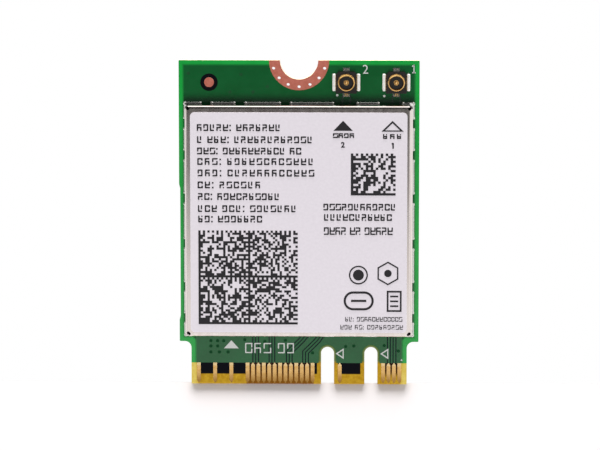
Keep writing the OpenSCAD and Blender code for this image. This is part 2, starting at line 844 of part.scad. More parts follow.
module jack_1_base() { color("#24201f") at_jack(0) jack_base_shape(); }
module jack_1_ring() { color("#d9b25f") at_jack(0) jack_ring_shape(); }
module jack_1_pin() { color("#d9b25f") at_jack(0) jack_pin_shape(); }
module jack_2_base() { color("#24201f") at_jack(1) jack_base_shape(); }
module jack_2_ring() { color("#d9b25f") at_jack(1) jack_ring_shape(); }
module jack_2_pin() { color("#d9b25f") at_jack(1) jack_pin_shape(); }

// Tinned pads under the jacks, with a fillet outside each leg and over the tail
module jack_solder() {
  outer_x = jack_base_w / 2 + jack_side_pad[0];
  leg_x = jack_base_w / 2 + jack_leg_t;
  wedge = [[leg_x, 0], [outer_x, 0], [leg_x, jack_plate_z]];
  tail_pad_y = -(jack_base_l + jack_end_pad[1]) / 2;
  color("#d9dbd2") {
    slab(core_z1, board_t) jack_pad_area();
    for (i = [0, 1]) at_jack(i) {
      for (s = [0, 1]) mirror([s, 0, 0]) translate([0, jack_leg_l / 2, board_t])
        rotate([90, 0, 0]) linear_extrude(jack_leg_l) polygon(wedge);
      difference() {
        block(jack_end_pad, [0, tail_pad_y], board_t, board_t + jack_tail_t / 2);
        jack_pin_shape();
      }
      block(jack_end_pad, [0, -tail_pad_y], board_t, board_t + jack_tail_t);
    }
  }
}

// Parts under the shield, placed from the can's centre

module at_can(p) {
  translate([p[0], can_y + p[1], board_t]) children();
}

module radio_chip() {
  dot = chip_w / 2 - chip_dot_inset;
  color("#26262a") at_can(chip_at) difference() {
    translate([0, 0, land_t]) linear_extrude(chip_h) square(chip_w, center = true);
    translate([-dot, dot, land_t + chip_h - chip_dot_depth]) cylinder(h = eps, r = chip_dot_r, $fn = 24);
  }
}

// Lands round the rim of a square package
module land_ring(w, land_l) {
  count = floor((w - 2 * land_pitch) / land_pitch);
  for (turn = [0:90:270], i = [0:count]) rotate(turn)
    translate([(i - count / 2) * land_pitch, (w - land_l) / 2])
      square([land_pitch / 2, land_l], center = true);
}

module chip_lands() {
  color("#d0cfc8") at_can(chip_at) linear_extrude(land_t) {
    land_ring(chip_w, chip_land_l);
    square(chip_w / 2, center = true);
  }
}

module front_end_modules() {
  color("#33333a") for (p = module_places) at_can(p)
    translate([0, 0, land_t]) linear_extrude(module_h) square(module_w, center = true);
}

module module_lands() {
  color("#d0cfc8") for (p = module_places) at_can(p) linear_extrude(land_t) {
    land_ring(module_w, module_land_l);
    square(module_w / 2 - module_land_l / 2, center = true);
  }
}

module crystal_case() {
  color("#b9a98c") at_can(crystal_at) linear_extrude(crystal_h) square(crystal_size, center = true);
}

module crystal_lid() {
  size = [crystal_size[0] - 2 * lid_margin, crystal_size[1] - 2 * lid_margin];
  color("#cfcfcf") at_can(crystal_at) translate([0, 0, crystal_h])
    linear_extrude(lid_t) square(size, center = true);
}

module power_inductors() {
  color("#4a4a4e") for (p = inductor_places) at_can(p) linear_extrude(inductor_h)
    square([inductor_size[0], inductor_size[1] - 2 * end_w], center = true);
}

module inductor_ends() {
  color("#d0cfc8") for (p = inductor_places, s = [-1, 1]) at_can(p)
    translate([0, s * (inductor_size[1] - end_w) / 2, 0])
      linear_extrude(inductor_h) square([inductor_size[0], end_w], center = true);
}

module two_ended_bodies(places, h) {
  for (p = places) at_can(p)
    linear_extrude(h) square([chip_part_l - 2 * end_w, chip_part_w], center = true);
}

module two_ended_ends(places, h) {
  for (p = places, s = [-1, 1]) at_can(p) translate([s * (chip_part_l - end_w) / 2, 0, 0])
    linear_extrude(h) square([end_w, chip_part_w], center = true);
}

module capacitors() { color("#a98d6c") two_ended_bodies(capacitor_places, capacitor_h); }
module capacitor_ends() { color("#d0cfc8") two_ended_ends(capacitor_places, capacitor_h); }
module resistors() { color("#232326") two_ended_bodies(resistor_places, resistor_h); }
module resistor_ends() { color("#d0cfc8") two_ended_ends(resistor_places, resistor_h); }

laminate();
solder_mask_top();
solder_mask_bottom();
edge_contacts_top();
edge_contacts_bottom();
screw_notch_plating();
fiducial_dot();
silk_marks();
shield_can();
shield_solder();
label();
label_print();
jack_1_base();
jack_1_ring();
jack_1_pin();
jack_2_base();
jack_2_ring();
jack_2_pin();
jack_solder();
radio_chip();
chip_lands();
front_end_modules();
module_lands();
crystal_case();
crystal_lid();
power_inductors();
inductor_ends();
capacitors();
capacitor_ends();
resistors();
resistor_ends();
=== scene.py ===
# Looks of a small keyed wireless card that lies flat with its label up
import math
import random

import bpy
from mathutils import Matrix, Vector


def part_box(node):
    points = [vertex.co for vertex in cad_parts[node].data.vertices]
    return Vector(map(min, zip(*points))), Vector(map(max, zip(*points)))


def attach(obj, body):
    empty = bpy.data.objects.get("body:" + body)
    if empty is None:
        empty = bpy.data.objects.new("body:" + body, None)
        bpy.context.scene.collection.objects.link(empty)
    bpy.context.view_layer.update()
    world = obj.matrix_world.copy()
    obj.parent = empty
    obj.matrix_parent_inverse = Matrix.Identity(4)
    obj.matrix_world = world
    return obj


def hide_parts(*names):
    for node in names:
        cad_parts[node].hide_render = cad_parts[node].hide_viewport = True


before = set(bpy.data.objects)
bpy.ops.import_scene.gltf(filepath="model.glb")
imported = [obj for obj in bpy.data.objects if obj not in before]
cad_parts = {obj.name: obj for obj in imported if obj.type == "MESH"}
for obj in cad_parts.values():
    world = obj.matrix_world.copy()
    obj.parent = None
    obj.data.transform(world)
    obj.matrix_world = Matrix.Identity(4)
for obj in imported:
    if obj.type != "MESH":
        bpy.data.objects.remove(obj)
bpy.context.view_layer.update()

# Units and sizes, in metres unless a name says otherwise

MM = 0.001
INK = 0.02 * MM
BOARD_TOP = 0.8 * MM
BOARD_MIDDLE = 0.4 * MM
HALF_W = 11 * MM
HALF_L = 15 * MM
TONGUE_HALF_W = 9.925 * MM
SHOULDER_Y = -11 * MM
NOTCH_X = (2.625 * MM, 6.625 * MM)
NOTCH_R = 0.6 * MM
NOTCH_ARC_Y = -12.1 * MM
MASK_Y = -13 * MM
PLANE_Y = -14.05 * MM
LEAD_Y = -14.45 * MM
CAN_LOW, CAN_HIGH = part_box("shield_can")
PAD_LOW, PAD_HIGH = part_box("shield_solder")
FOLD_R = 0.3 * MM
SHEET_T = 0.15 * MM
LABEL_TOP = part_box("label")[1].z
JACKS = [(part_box(f"jack_{i}_base")[0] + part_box(f"jack_{i}_base")[1]) / 2 for i in (1, 2)]
# Heights from the board's middle: the laminate's faces, and the mask's surface over bare laminate,
# over covered vias and over copper
FACE_H = 0.34 * MM
OVER_LAMINATE_H = 0.38 * MM
OVER_VIA_H = 0.39 * MM
OVER_COPPER_H = 0.4 * MM
SEED = 7


# Colours and nodes

def colour(code):
    """A linear RGBA colour from an sRGB hex value."""
    parts = [int(code[i:i + 2], 16) / 255 for i in (1, 3, 5)]
    return [p / 12.92 if p <= 0.04045 else ((p + 0.055) / 1.055) ** 2.4 for p in parts] + [1.0]


def add(tree, kind, links=None, stops=(), **settings):
    """Adds one node with its settings and links. An input, by name or number, takes a value, a hex
    colour, an output, or a node, which stands for its first output in use. The stops are those of a
    colour ramp, each a position and a hex colour."""
    node = tree.nodes.new("ShaderNode" + kind)
    for name, value in settings.items():
        setattr(node, name, value)
    for key, value in (links or {}).items():
        if isinstance(key, str):
            socket = next(each for each in node.inputs if each.enabled and each.name == key)
        else:
            socket = node.inputs[key]
        if isinstance(value, bpy.types.Node):
            value = next(each for each in value.outputs if each.enabled)
        if isinstance(value, bpy.types.NodeSocket):
            tree.links.new(value, socket)
        else:
            socket.default_value = colour(value) if isinstance(value, str) else value
    for number, (position, code) in enumerate(stops):
        point = node.color_ramp.elements[number]
        point.position = position
        point.color = colour(code)
    return node


def new_material(name):
    """A material with its tree cleared, and the output of its Object coordinates."""
    material = bpy.data.materials.new(name)
    material.use_nodes = True
    tree = material.node_tree
    tree.nodes.clear()
    return material, tree, add(tree, "TexCoord").outputs["Object"]


# Patterns and places on the board, as fields that the materials share

def mottled(tree, place, size, low, high, detail=2.0, stretch=(1, 1, 1)):
    """A tone that wanders between two hex colours in spots about size across, in metres, and the
    spots."""
    scaled = add(tree, "Mapping", {"Vector": place, "Scale": stretch})
    spots = add(tree, "TexNoise", {"Vector": scaled, "Scale": 1 / size, "Detail": detail})
    return add(tree, "ValToRGB", {"Fac": spots}, stops=((0.3, low), (0.7, high))), spots


def layered(tree, tone, *coats):
    """A tone with coats over it, each a share and the tone that it brings."""
    for share, coat in coats:
        tone = add(tree, "Mix", {"Factor": share, "A": tone, "B": coat}, data_type="RGBA")
    return tone


def region(tree, *limits):
    """1 past every limit and 0 short of one. A limit is a field, where its step begins and where it
    ends."""
    share = None
    for field, begin, end in limits:
        step = add(tree, "MapRange", {"Value": field, "From Min": begin, "From Max": end},
                   interpolation_type="SMOOTHSTEP")
        if share is None:
            share = step
        else:
            share = add(tree, "Math", {0: share, 1: step}, operation="MULTIPLY")
    return share


def off_middle(tree, z):
    """Distance from the board's middle plane, the same on both sides."""
    above = add(tree, "Math", {0: z, 1: BOARD_MIDDLE}, operation="SUBTRACT")
    return add(tree, "Math", {0: above}, operation="ABSOLUTE")


def distance_to(tree, place, x, y):
    """Distance in plan from a spot on the board, and how far along the board that is."""
    axes = add(tree, "SeparateXYZ", {"Vector": place}).outputs
    across = add(tree, "Math", {0: axes["X"], 1: x}, operation="SUBTRACT")
    along = add(tree, "Math", {0: axes["Y"], 1: y}, operation="SUBTRACT")
    spoke = add(tree, "CombineXYZ", {"X": across, "Y": along})
    return add(tree, "VectorMath", {0: spoke}, operation="LENGTH"), along


def edge_distance(tree, place):
    """Distance from the board's outline in metres, shoulders and tongue included."""
    axes = add(tree, "SeparateXYZ", {"Vector": place}).outputs
    side = add(tree, "Math", {0: axes["X"]}, operation="ABSOLUTE")
    to_side = add(tree, "Math", {0: HALF_W, 1: side}, operation="SUBTRACT")
    to_rear = add(tree, "Math", {0: HALF_L, 1: axes["Y"]}, operation="SUBTRACT")
    in_tongue = add(tree, "Math", {0: TONGUE_HALF_W, 1: side}, operation="SUBTRACT")
    in_tongue = add(tree, "Math", {0: in_tongue, 1: 0.0}, operation="MAXIMUM")
    over_shoulder = add(tree, "Math", {0: axes["Y"], 1: SHOULDER_Y}, operation="SUBTRACT")
    over_shoulder = add(tree, "Math", {0: over_shoulder, 1: 0.0}, operation="MAXIMUM")
    corner = add(tree, "CombineXYZ", {"X": in_tongue, "Y": over_shoulder})
    to_corner = add(tree, "VectorMath", {0: corner}, operation="LENGTH")
    nearest = add(tree, "Math", {0: to_side, 1: to_rear}, operation="MINIMUM")
    return add(tree, "Math", {0: nearest, 1: to_corner}, operation="MINIMUM")


def notch_distance(tree, place):
    """Distance from the walls of the two key notches in metres."""
    axes = add(tree, "SeparateXYZ", {"Vector": place}).outputs
    above = add(tree, "Math", {0: axes["Y"], 1: NOTCH_ARC_Y}, operation="SUBTRACT")
    above = add(tree, "Math", {0: above, 1: 0.0}, operation="MAXIMUM")
    distances = []
    for notch_x in NOTCH_X:
        across = add(tree, "Math", {0: axes["X"], 1: notch_x}, operation="SUBTRACT")
        centre = add(tree, "CombineXYZ", {"X": across, "Y": above})
        reach = add(tree, "VectorMath", {0: centre}, operation="LENGTH")
        distances.append(add(tree, "Math", {0: reach, 1: NOTCH_R}, operation="SUBTRACT"))
    return add(tree, "Math", {0: distances[0], 1: distances[1]}, operation="MINIMUM")


# Materials, each named for what the real one is

MASK_ROUGHNESS = 0.12
# How far from a step in the mask its colour changes
STEP_EDGE = 0.003 * MM


def make_solder_mask():
    """Photo-imaged epoxy resist, curtain coated: deep green over copper, glowing green where only
    laminate lies under it, with dark hairlines beside the copper lines and dark pits over vias."""
    material, tree, place = new_material("green_epoxy_solder_mask")
    axes = add(tree, "SeparateXYZ", {"Vector": place}).outputs
    y = axes["Y"]
    height = off_middle(tree, axes["Z"])
    above_pits = region(tree, (height, OVER_VIA_H + STEP_EDGE, OVER_COPPER_H - STEP_EDGE))
    above_lines = region(tree, (height, OVER_LAMINATE_H + STEP_EDGE, OVER_VIA_H - STEP_EDGE))
    towards_front = region(tree, (y, CAN_HIGH.y, CAN_LOW.y))
    # Painted shade: close behind the shield the mask is darker, where the shield's wall would shade it
    painted_shade_behind_shield = region(tree, (y, CAN_HIGH.y + 1.1 * MM, CAN_HIGH.y + 0.15 * MM),
                   (y, CAN_HIGH.y - 0.1 * MM, CAN_HIGH.y))
    painted_shade_behind_shield = add(tree, "Math", {0: painted_shade_behind_shield, 1: 0.85}, operation="MULTIPLY")
    glow = region(tree, (edge_distance(tree, place), 0.54 * MM, 0.27 * MM))
    tint, _ = mottled(tree, place, 1.6 * MM, "#025022", "#085829")
    rim, _ = mottled(tree, place, 2.5 * MM, "#0c9637", "#18a441")
    pit = layered(tree, "#00481f", (towards_front, "#003c1a"))
    line = layered(tree, "#0c2a22", (towards_front, "#06171c"))
    cover = layered(tree, pit, (above_pits, tint))
    tone = layered(tree, line, (above_lines, cover), (painted_shade_behind_shield, "#00200e"), (glow, rim))
    gloss = add(tree, "Mix", {"Factor": towards_front, "A": 0.2, "B": 1.0})
    gloss = add(tree, "Mix", {"Factor": above_pits, "A": gloss, "B": MASK_ROUGHNESS})
    gloss = add(tree, "Mix", {"Factor": glow, "A": gloss, "B": MASK_ROUGHNESS})
    waves = add(tree, "TexNoise", {"Vector": place, "Scale": 1 / (0.35 * MM), "Detail": 3.0})
    shader = add(tree, "BsdfPrincipled", {
        "Base Color": tone, "Roughness": gloss, "Specular IOR Level": 0.6,
        "Normal": add(tree, "Bump", {"Height": waves, "Distance": 0.002 * MM})})
    add(tree, "OutputMaterial", {"Surface": shader})
    return material


# Where contacts stand side by side and painted shade darkens the laminate between them: left and right
# ends, and down to where that painted brown shade ends
CONTACT_GROUPS = ((-4.85 * MM, 1.35 * MM, -15.4 * MM), (7.7 * MM, 9.3 * MM, -14.1 * MM))
# Spots of the weave, longer across the board's thickness
WEAVE = 0.3 * MM
WEAVE_STRETCH = (1, 1, 3)


def make_laminate():
    """Woven glass in amber epoxy, routed at the edges: milky on the cut walls, yellow near them, and
    near black where the inner copper shows, which stays clear of the notches and the contact edge."""
    material, tree, place = new_material("woven_glass_epoxy_laminate")
    axes = add(tree, "SeparateXYZ", {"Vector": place}).outputs
    x, y = axes["X"], axes["Y"]
    on_face = region(tree, (off_middle(tree, axes["Z"]), FACE_H - 0.01 * MM, FACE_H - 0.005 * MM))
    on_lead = region(tree, (y, LEAD_Y + 0.05 * MM, LEAD_Y - 0.05 * MM))
    on_face = add(tree, "Math", {0: on_face, 1: on_lead}, operation="MAXIMUM")
    to_edge = edge_distance(tree, place)
    to_notch = notch_distance(tree, place)
    amber, weave = mottled(tree, place, WEAVE, "#b08419", "#cba22c", stretch=WEAVE_STRETCH)
    pale, _ = mottled(tree, place, WEAVE, "#d9bd50", "#e6cf6e", stretch=WEAVE_STRETCH)
    cut, _ = mottled(tree, place, WEAVE, "#e6dcb4", "#f2ecd4", stretch=WEAVE_STRETCH)
    at_edge = region(tree, (to_edge, 0.75 * MM, 0.3 * MM))
    # Round a notch, where the mask ends, the laminate is olive green
    ring = region(tree, (y, MASK_Y - 0.1 * MM, MASK_Y + 0.25 * MM), (to_notch, 1.0 * MM, 0.9 * MM))
    olive = layered(tree, "#7d8650", (region(tree, (to_notch, 0.03 * MM, 0.2 * MM)), "#486a3a"))
    resin = layered(tree, amber, (at_edge, pale), (ring, olive))
    # Painted shade: between contacts that stand side by side the laminate is dark brown, darkest at the
    # resist
    forward = region(tree, (y, MASK_Y - 0.3 * MM, -14.8 * MM))
    brown = layered(tree, "#2a1007", (forward, "#80500f"))
    plane = region(tree, (y, PLANE_Y - 0.05 * MM, PLANE_Y + 0.05 * MM),
                   (to_notch, 0.32 * MM, 0.4 * MM), (to_edge, 0.55 * MM, 0.62 * MM))
    for left, right, front in CONTACT_GROUPS:
        group = region(tree, (x, left - 0.04 * MM, left + 0.04 * MM),
                       (x, right + 0.04 * MM, right - 0.04 * MM),
                       (y, MASK_Y + 0.15 * MM, MASK_Y + 0.1 * MM),
                       (y, front - 0.35 * MM, front + 0.35 * MM))
        resin = layered(tree, resin, (group, brown))
        elsewhere = add(tree, "Math", {0: 1.0, 1: group}, operation="SUBTRACT")
        plane = add(tree, "Math", {0: plane, 1: elsewhere}, operation="MULTIPLY")
    face = layered(tree, resin, (plane, "#07070e"))
    shader = add(tree, "BsdfPrincipled", {
        "Base Color": layered(tree, cut, (on_face, face)), "Roughness": 0.45,
        "Specular IOR Level": 0.08,
        "Normal": add(tree, "Bump", {"Height": weave, "Distance": 0.004 * MM})})
    add(tree, "OutputMaterial", {"Surface": shader})
    return material


# The rings' rear lip starts this far behind a jack's middle and falls at this slope
LIP_Y = 0.4 * MM
LIP_SLOPE = 0.62


def make_gold():
    """Hard gold over nickel, satin, with a painted highlight at the resist and a painted dimmer
    reflection towards the edge that is pushed in.
    The jacks' rings carry painted shade, dark brown, on their inner side, and have a bright rolled lip
    at the rear."""
    material, tree, place = new_material("gold_over_nickel_plating")
    y = add(tree, "SeparateXYZ", {"Vector": place}).outputs["Y"]
    gold_tone, spots = mottled(tree, place, 0.3 * MM, "#edb96c", "#f9cd89", 3.0)
    painted_dim_gold, _ = mottled(tree, place, 0.3 * MM, "#a77b3c", "#b98c4a", 3.0)
    # Painted reflection: the gold is dimmer towards the contact end and lighter at the resist
    forward = region(tree, (y, -13.6 * MM, -14.9 * MM))
    painted_resist_highlight = region(tree, (y, MASK_Y - 0.4 * MM, MASK_Y - 0.15 * MM),
                       (y, MASK_Y + 0.2 * MM, MASK_Y + 0.1 * MM))
    painted_resist_highlight = add(tree, "Math", {0: painted_resist_highlight, 1: 0.8}, operation="MULTIPLY")
    tone = layered(tree, gold_tone, (forward, painted_dim_gold), (painted_resist_highlight, "#ffe2ab"))
    for jack in JACKS:
        reach, along = distance_to(tree, place, jack.x, jack.y)
        # Painted shade: each ring's inner side is dark brown, all round except at the rear lip
        inner = region(tree, (reach, 0.71 * MM, 0.65 * MM), (reach, 0.3 * MM, 0.34 * MM),
                       (along, 0.6 * MM, 0.35 * MM))
        tone = layered(tree, tone, (inner, "#6b4416"))
    past = add(tree, "Math", {0: y, 1: JACKS[0].y + LIP_Y}, operation="SUBTRACT")
    past = add(tree, "Math", {0: past, 1: 0.0}, operation="MAXIMUM")
    drop = add(tree, "Math", {0: past, 1: -LIP_SLOPE}, operation="MULTIPLY")
    grainy = add(tree, "Bump", {"Height": spots, "Distance": 0.003 * MM})
    rolled = add(tree, "Bump", {"Height": drop, "Distance": 1.0, "Normal": grainy})
    shader = add(tree, "BsdfPrincipled", {
        "Base Color": tone, "Metallic": 1.0, "Roughness": 0.19, "Normal": rolled})
    add(tree, "OutputMaterial", {"Surface": shader})
    return material


# The shield's corner holes: round ones behind, and at the contacts' end long ones that lie aslant
HOLE_R = 0.135 * MM
HOLE_HALF_STRETCH = 0.06 * MM
HOLE_ROWS = ((CAN_HIGH.y - FOLD_R, 0.0), (CAN_LOW.y + FOLD_R, HOLE_HALF_STRETCH))
SHADE_EDGE = 0.01 * MM
SHADE = "#060505"


def corner_shade(tree, place, radius):
    """1 inside the shield's walls and within a radius of its corner holes' middles."""
    axes = add(tree, "SeparateXYZ", {"Vector": place}).outputs
    y, z = axes["Y"], axes["Z"]
    side = add(tree, "Math", {0: axes["X"]}, operation="ABSOLUTE")
    inner_top, inner_side = CAN_HIGH.z - SHEET_T, CAN_HIGH.x - SHEET_T
    inner_front, inner_rear = CAN_LOW.y + SHEET_T, CAN_HIGH.y - SHEET_T
    inside = region(tree, (z, inner_top + SHADE_EDGE, inner_top),
                    (z, BOARD_TOP, BOARD_TOP + SHADE_EDGE),
                    (side, inner_side + SHADE_EDGE, inner_side),
                    (y, inner_front - SHADE_EDGE, inner_front),
                    (y, inner_rear + SHADE_EDGE, inner_rear))
    across = add(tree, "Math", {0: side, 1: CAN_HIGH.x - FOLD_R}, operation="SUBTRACT")
    reaches = []
    for hole_y, half_stretch in HOLE_ROWS:
        along = add(tree, "Math", {0: y, 1: hole_y}, operation="SUBTRACT")
        aslant = add(tree, "Math", {0: across, 1: along}, operation="ADD")
        aslant = add(tree, "Math", {0: aslant, 1: math.sqrt(0.5)}, operation="MULTIPLY")
        aslant = add(tree, "Math", {0: aslant}, operation="ABSOLUTE")
        aslant = add(tree, "Math", {0: aslant, 1: half_stretch}, operation="SUBTRACT")
        aslant = add(tree, "Math", {0: aslant, 1: 0.0}, operation="MAXIMUM")
        outward = add(tree, "Math", {0: across, 1: along}, operation="SUBTRACT")
        outward = add(tree, "Math", {0: outward, 1: math.sqrt(0.5)}, operation="MULTIPLY")
        corner = add(tree, "CombineXYZ", {"X": aslant, "Y": outward})
        reaches.append(add(tree, "VectorMath", {0: corner}, operation="LENGTH"))
    reach = add(tree, "Math", {0: reaches[0], 1: reaches[1]}, operation="MINIMUM")
    hole = region(tree, (reach, radius + SHADE_EDGE, radius))
    return add(tree, "Math", {0: hole, 1: inside}, operation="MAXIMUM")


def make_metal(name, low, high, roughness, spot, depth, stretch=(1, 1, 1), shade_r=0.0):
    """A metal whose colour and gloss wander a little between two tones. With a shade radius, the
    shield's inside and its corner holes get painted shade, near black."""
    material, tree, place = new_material(name)
    tone, spots = mottled(tree, place, spot, low, high, 3.0, stretch)
    if shade_r:
        tone = layered(tree, tone, (corner_shade(tree, place, shade_r), SHADE))
    gloss = add(tree, "MapRange", {
        "Value": spots, "To Min": roughness * 0.8, "To Max": roughness * 1.25})
    shader = add(tree, "BsdfPrincipled", {
        "Base Color": tone, "Metallic": 1.0, "Roughness": gloss,
        "Normal": add(tree, "Bump", {"Height": spots, "Distance": depth})})
    add(tree, "OutputMaterial", {"Surface": shader})
    return material


def make_plastic(name, low, high, roughness, spot, depth, metallic=0.0):
    """A moulded, printed or fired surface whose colour wanders a little between two tones."""
    material, tree, place = new_material(name)
    tone, spots = mottled(tree, place, spot, low, high, 3.0)
    shader = add(tree, "BsdfPrincipled", {
        "Base Color": tone, "Roughness": roughness, "Metallic": metallic,
        "Normal": add(tree, "Bump", {"Height": spots, "Distance": depth})})
    add(tree, "OutputMaterial", {"Surface": shader})
    return material


# Each has its two tones, its roughness, the size of its spots, which are drawn coarse enough to show,
# and their depth
gold = make_gold()
# Bare copper under a clear preservative: matt and slightly reddish
copper = make_metal("preserved_bare_copper", "#d67c68", "#e59180", 0.55, 0.3 * MM, 0.002 * MM)
# Cold rolled nickel silver: bright satin, with a faint grain along the rolling direction, and painted
# shade inside the shield and in its corner holes
nickel_silver = make_metal("rolled_nickel_silver_sheet", "#e6dad4", "#f1e8e3", 0.1, 0.5 * MM,
                           0.0005 * MM, stretch=(1, 0.15, 1), shade_r=HOLE_R)
# Reflowed tin silver copper solder: bright as a mirror and a little lumpy, with painted shade inside
# the shield and by its corners
solder = make_metal("reflowed_tin_solder", "#dcdcd6", "#f2f2ee", 0.1, 0.18 * MM, 0.0012 * MM,
                    shade_r=FOLD_R - 0.01 * MM)
# Solder under a thin glaze of flux, which turns it milky
glazed_solder = make_plastic("flux_glazed_solder", "#ebe7e0", "#fcfaf5", 0.3, 0.16 * MM,
                             0.01 * MM, metallic=0.3)
# Solder with flux burnt brown on it
browned_solder = make_plastic("flux_browned_solder", "#6f6754", "#8f8871", 0.3, 0.12 * MM,
                              0.01 * MM, metallic=0.3)
# Matt polyester label film with a soft top coat
label_film = make_plastic("matt_polyester_label_film", "#e2dbe2", "#e7e0e7", 0.45, 0.25 * MM,
                          0.001 * MM)
# Resin ink from a thermal ribbon: dense black with a low sheen
black_ink = make_plastic("black_resin_ribbon_ink", "#0d0a0f", "#151117", 0.45, 0.1 * MM, 0.001 * MM)
# Screened epoxy legend ink: chalky white
white_ink = make_plastic("white_epoxy_legend_ink", "#c4c6c4", "#d6d7d4", 0.6, 0.1 * MM, 0.002 * MM)
# Liquid crystal polymer, injection moulded: near black, with the sheen of a polished mould
black_resin = make_plastic("moulded_liquid_crystal_polymer", "#120d0a", "#1d1713", 0.24,
                           0.08 * MM, 0.001 * MM)
# Epoxy mould compound with fine sand in it: dark grey and matt
mould_compound = make_plastic("epoxy_mould_compound", "#222226", "#303036", 0.55, 0.05 * MM,
                              0.003 * MM)
# Fired barium titanate: tan and finely grained
fired_ceramic = make_plastic("fired_tan_ceramic", "#a08361", "#b8a184", 0.5, 0.06 * MM, 0.002 * MM)
# Pressed ferrite: dark grey and slightly coarse
pressed_ferrite = make_plastic("pressed_grey_ferrite", "#424246", "#55555a", 0.6, 0.08 * MM,
                               0.004 * MM)
solder_mask = make_solder_mask()
laminate = make_laminate()

FINISHES = {
    "laminate": laminate,
    "solder_mask_top": solder_mask,
    "solder_mask_bottom": solder_mask,
    "edge_contacts_top": gold,
    "edge_contacts_bottom": gold,
    "screw_notch_plating": copper,
    "fiducial_dot": copper,
    "silk_marks": white_ink,
    "shield_can": nickel_silver,
    "shield_solder": solder,
    "label": label_film,
    "label_print": black_ink,
    "jack_1_base": black_resin,
    "jack_2_base": black_resin,
    "jack_1_ring": gold,
    "jack_2_ring": gold,
    "jack_1_pin": gold,
    "jack_2_pin": gold,
    "jack_solder": solder,
    "radio_chip": mould_compound,
    "chip_lands": solder,
    "front_end_modules": mould_compound,
    "module_lands": solder,
    "crystal_case": fired_ceramic,
    "crystal_lid": nickel_silver,
    "power_inductors": pressed_ferrite,
    "inductor_ends": solder,
    "capacitors": fired_ceramic,
    "capacitor_ends": solder,
    "resistors": mould_compound,
    "resistor_ends": solder,
}


def paint(piece, material):
    """Gives the whole piece one material."""
    piece.data.materials.clear()
    piece.data.materials.append(material)


for node_name, finish in FINISHES.items():
    paint(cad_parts[node_name], finish)


# Modelling, as by hand: a flat primitive is cut to its outline and then given the ink's thickness

def deselect():
    """Leaves no object selected, so that the next operator acts on its own piece alone."""
    bpy.ops.object.select_all(action="DESELECT")


def take(name):
    """Names the primitive that was just added."""
    piece = bpy.context.active_object
    piece.name = name
    piece.data.name = name
    return piece


def keep_faces(piece, wanted):
    """Deletes every face of a flat piece for which wanted(face centre) is false."""
    bpy.ops.object.mode_set(mode="EDIT")
    bpy.ops.mesh.select_mode(type="FACE")
    bpy.ops.mesh.select_all(action="DESELECT")
    bpy.ops.object.mode_set(mode="OBJECT")
    for face in piece.data.polygons:
        face.select = not wanted(face.center)
    bpy.ops.object.mode_set(mode="EDIT")
    bpy.ops.mesh.delete(type="FACE")
    bpy.ops.object.mode_set(mode="OBJECT")


def thicken(piece, height):
    """Raises a flat piece to a solid of that height."""
    solidify = piece.modifiers.new("ink", "SOLIDIFY")
    solidify.thickness = height
    solidify.offset = 1.0
    bpy.ops.object.modifier_apply(modifier=solidify.name)


def settle(piece):
    """Puts the piece's place, turn and size into its mesh."""
    deselect()
    piece.select_set(True)
    bpy.context.view_layer.objects.active = piece
    bpy.ops.object.transform_apply(location=True, rotation=True, scale=True)


def copy_to(piece, x, y, z):
    """A copy of a piece with its own mesh, moved there."""
    twin = piece.copy()
    twin.data = piece.data.copy()
    twin.location = (x, y, z)
    bpy.context.scene.collection.objects.link(twin)
    return twin


def join(name, pieces):
    """Joins pieces into one, with its origin at the world's."""
    deselect()
    for piece in pieces:
        piece.select_set(True)
    bpy.context.view_layer.objects.active = pieces[0]
    bpy.ops.object.join()
    whole = take(name)
    settle(whole)
    return whole


def discard(pieces):
    """Takes away pieces that were only there to be copied."""
    for piece in pieces:
        bpy.data.objects.remove(piece)


def dress(piece, material):
    """Finishes a new piece: its material and its body."""
    paint(piece, material)
    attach(piece, "root")
    return piece


def grid(name, columns, rows):
    """A flat grid of unit cells with its lower left corner at the origin."""
    deselect()
    bpy.ops.mesh.primitive_grid_add(x_subdivisions=columns, y_subdivisions=rows, size=1.0)
    piece = take(name)
    for vertex in piece.data.vertices:
        vertex.co.x = round((vertex.co.x + 0.5) * columns)
        vertex.co.y = round((vertex.co.y + 0.5) * rows)
    return piece


# Lines of lettering stand as rows of blank glyphs: bars on a small grid that spell nothing

GLYPHS = (
    ("###", "..#", "###", "#..", "#.#"),
    ("#.#", "#.#", "###", "#..", "###"),
    ("###", "#.#", "#.#", "..#", "###"),
    ("#.#", "#..", "###", "#.#", "###"),
    ("###", "#..", "#.#", "..#", "###"),
    ("###", "#..", "###", "#.#", "#.#"),
    ("#.#", "#.#", "#.#", "#..", "###"),
    ("###", "#.#", "#..", "#.#", "###"),
)
# Each glyph's width as a share of its height, and how much of a stroke its round corners take
WIDTH_SHARES = (0.62, 0.7, 0.66, 0.58, 0.74, 0.64, 0.56, 0.7)
ROUND_SHARE = 0.45


def select_edges(piece, wanted):
    """Selects the edges for which wanted(first corner, second corner) is true."""
    bpy.ops.object.mode_set(mode="EDIT")
    bpy.ops.mesh.select_mode(type="EDGE")
    bpy.ops.mesh.select_all(action="DESELECT")
    bpy.ops.object.mode_set(mode="OBJECT")
    corners = piece.data.vertices
    for edge in piece.data.edges:
        edge.select = wanted(*(corners[i].co for i in edge.vertices))


def round_edges(piece, wanted, radius, segments):
    """Bevels the edges for which wanted(first corner, second corner) is true."""
    select_edges(piece, wanted)
    bpy.ops.object.mode_set(mode="EDIT")
    bpy.ops.mesh.bevel(offset=radius, segments=segments, affect="EDGES", clamp_overlap=True)
    bpy.ops.object.mode_set(mode="OBJECT")


